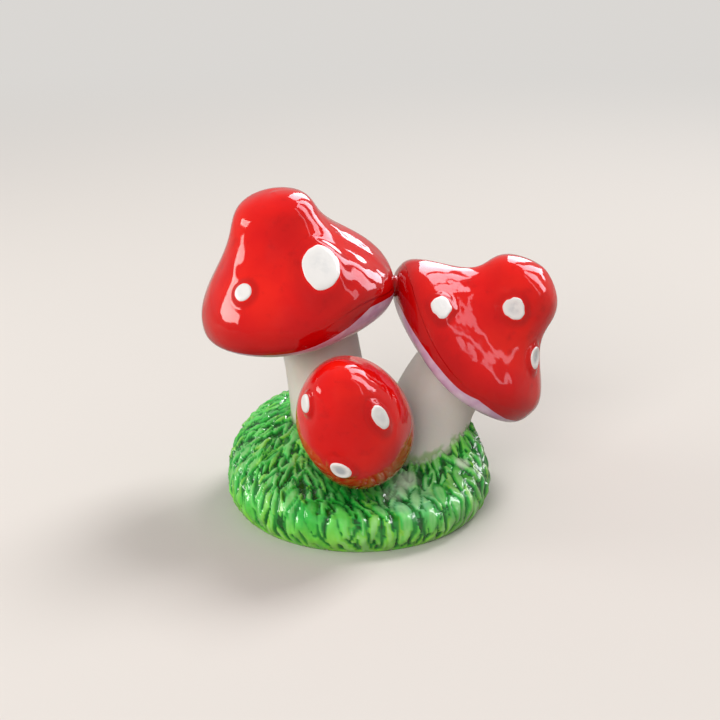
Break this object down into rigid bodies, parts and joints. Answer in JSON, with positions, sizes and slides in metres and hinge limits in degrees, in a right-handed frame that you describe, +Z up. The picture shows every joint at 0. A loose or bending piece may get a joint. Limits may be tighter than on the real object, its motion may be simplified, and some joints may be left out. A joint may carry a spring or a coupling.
{
  "type": "ceramic mushroom ornament",
  "caption": "Glazed ceramic toadstool ornament: red spotted caps on pale stalks growing out of a round mound of carved grass.",
  "frame": {"origin": "middle of the foot ring, on the table", "axes": "+Z up, -Y towards the pictured front, +X to the right seen from the front"},
  "size_m": [0.1073, 0.088, 0.0966],
  "materials": {
    "grass_glaze": "clear gloss over brushed green and yellow-green, dark green pooled in the grooves",
    "stalk_glaze": "soft satin warm white",
    "cap_glaze": "high gloss red, with the underside of each brim painted lilac pink",
    "spot_glaze": "thick glossy white dabs"
  },
  "bodies": {
    "root": {"grass_mound": "grass_glaze", "tall_stalk": "stalk_glaze", "tall_cap": "cap_glaze", "tall_cap_dabs": "spot_glaze", "leaning_stalk": "stalk_glaze", "leaning_cap": "cap_glaze", "leaning_cap_dabs": "spot_glaze", "front_stalk": "stalk_glaze", "front_cap": "cap_glaze", "front_cap_dabs": "spot_glaze", "rim_lute": "cap_glaze"}
  },
  "joints": []
}
